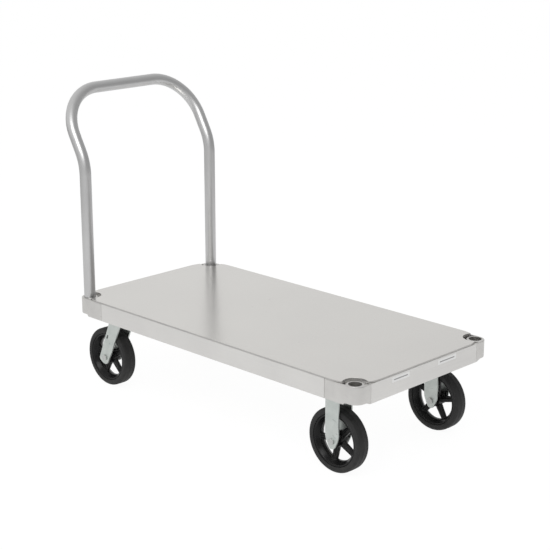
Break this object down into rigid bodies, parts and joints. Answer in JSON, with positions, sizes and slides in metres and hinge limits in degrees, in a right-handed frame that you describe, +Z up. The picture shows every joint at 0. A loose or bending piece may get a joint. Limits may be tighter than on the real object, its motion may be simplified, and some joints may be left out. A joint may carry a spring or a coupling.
{
  "type": "platform truck",
  "caption": "Aluminium platform truck: smooth deck on a channel frame, lift-out bow handle in corner sockets, rigid and swivel casters with rubber-tread wheels.",
  "frame": {"origin": "on the floor under the middle of the whole truck, the overhang of the handle included", "axes": "+X along the deck, away from the handle; +Y to the left; +Z up"},
  "size_m": [1.3674, 0.61, 1.007],
  "materials": {
    "deck_sheet": "mill-finish smooth sheet, semi-gloss",
    "frame_rail": "extruded channel, satin",
    "corner_casting": "cast, lightly sanded",
    "handle_tube": "drawn tube, satin with long die lines",
    "zinc_steel": "zinc plated, dull",
    "bolt_steel": "zinc plated",
    "bearing_steel": "ground",
    "wheel_iron": "black enamel on cast iron",
    "tread_rubber": "moulded black rubber, dull"
  },
  "bodies": {
    "deck": {"deck_plate": "deck_sheet", "side_rail_left": "frame_rail", "side_rail_right": "frame_rail", "end_rail_front": "frame_rail", "corner_socket_front_left": "corner_casting", "corner_socket_front_right": "corner_casting", "caster_channel_front": "frame_rail", "centre_channel_front": "frame_rail", "end_rail_rear": "frame_rail", "corner_socket_rear_left": "corner_casting", "corner_socket_rear_right": "corner_casting", "caster_channel_rear": "frame_rail", "centre_channel_rear": "frame_rail", "rigid_fork_front_left": "zinc_steel", "mounting_bolt_front_left_1": "bolt_steel", "mounting_bolt_front_left_2": "bolt_steel", "mounting_bolt_front_left_3": "bolt_steel", "mounting_bolt_front_left_4": "bolt_steel", "axle_bolt_front_left": "bolt_steel", "axle_nut_front_left": "bolt_steel", "swivel_plate_rear_left": "zinc_steel", "ball_race_rear_left": "zinc_steel", "kingpin_rear_left": "bolt_steel", "mounting_bolt_rear_left_1": "bolt_steel", "mounting_bolt_rear_left_2": "bolt_steel", "mounting_bolt_rear_left_3": "bolt_steel", "mounting_bolt_rear_left_4": "bolt_steel", "rigid_fork_front_right": "zinc_steel", "mounting_bolt_front_right_1": "bolt_steel", "mounting_bolt_front_right_2": "bolt_steel", "mounting_bolt_front_right_3": "bolt_steel", "mounting_bolt_front_right_4": "bolt_steel", "axle_bolt_front_right": "bolt_steel", "axle_nut_front_right": "bolt_steel", "swivel_plate_rear_right": "zinc_steel", "ball_race_rear_right": "zinc_steel", "kingpin_rear_right": "bolt_steel", "mounting_bolt_rear_right_1": "bolt_steel", "mounting_bolt_rear_right_2": "bolt_steel", "mounting_bolt_rear_right_3": "bolt_steel", "mounting_bolt_rear_right_4": "bolt_steel"},
    "handle": {"handle_tube": "handle_tube"},
    "swivel_left": {"swivel_fork_rear_left": "zinc_steel", "axle_bolt_rear_left": "bolt_steel", "axle_nut_rear_left": "bolt_steel"},
    "swivel_right": {"swivel_fork_rear_right": "zinc_steel", "axle_bolt_rear_right": "bolt_steel", "axle_nut_rear_right": "bolt_steel"},
    "wheel_front_left": {"wheel_core_front_left": "wheel_iron", "tread_front_left": "tread_rubber", "wheel_bearing_front_left": "bearing_steel"},
    "wheel_front_right": {"wheel_core_front_right": "wheel_iron", "tread_front_right": "tread_rubber", "wheel_bearing_front_right": "bearing_steel"},
    "wheel_rear_left": {"wheel_core_rear_left": "wheel_iron", "tread_rear_left": "tread_rubber", "wheel_bearing_rear_left": "bearing_steel"},
    "wheel_rear_right": {"wheel_core_rear_right": "wheel_iron", "tread_rear_right": "tread_rubber", "wheel_bearing_rear_right": "bearing_steel"}
  },
  "joints": [
    {"name": "handle_lift", "type": "slide", "parent": "deck", "child": "handle", "axis": [0, 0, 1], "range_m": [0, 0.12]},
    {"name": "swivel_left", "type": "hinge", "parent": "deck", "child": "swivel_left", "pos_m": [-0.43617, 0.229, 0.22], "axis": [0, 0, 1], "continuous": true},
    {"name": "wheel_spin_front_left", "type": "hinge", "parent": "deck", "child": "wheel_front_left", "pos_m": [0.54883, 0.229, 0.1], "axis": [0, 1, 0], "continuous": true},
    {"name": "wheel_spin_rear_left", "type": "hinge", "parent": "swivel_left", "child": "wheel_rear_left", "pos_m": [-0.49217, 0.229, 0.1], "axis": [0, 1, 0], "continuous": true},
    {"name": "swivel_right", "type": "hinge", "parent": "deck", "child": "swivel_right", "pos_m": [-0.43617, -0.229, 0.22], "axis": [0, 0, 1], "continuous": true},
    {"name": "wheel_spin_front_right", "type": "hinge", "parent": "deck", "child": "wheel_front_right", "pos_m": [0.54883, -0.229, 0.1], "axis": [0, 1, 0], "continuous": true},
    {"name": "wheel_spin_rear_right", "type": "hinge", "parent": "swivel_right", "child": "wheel_rear_right", "pos_m": [-0.49217, -0.229, 0.1], "axis": [0, 1, 0], "continuous": true}
  ]
}
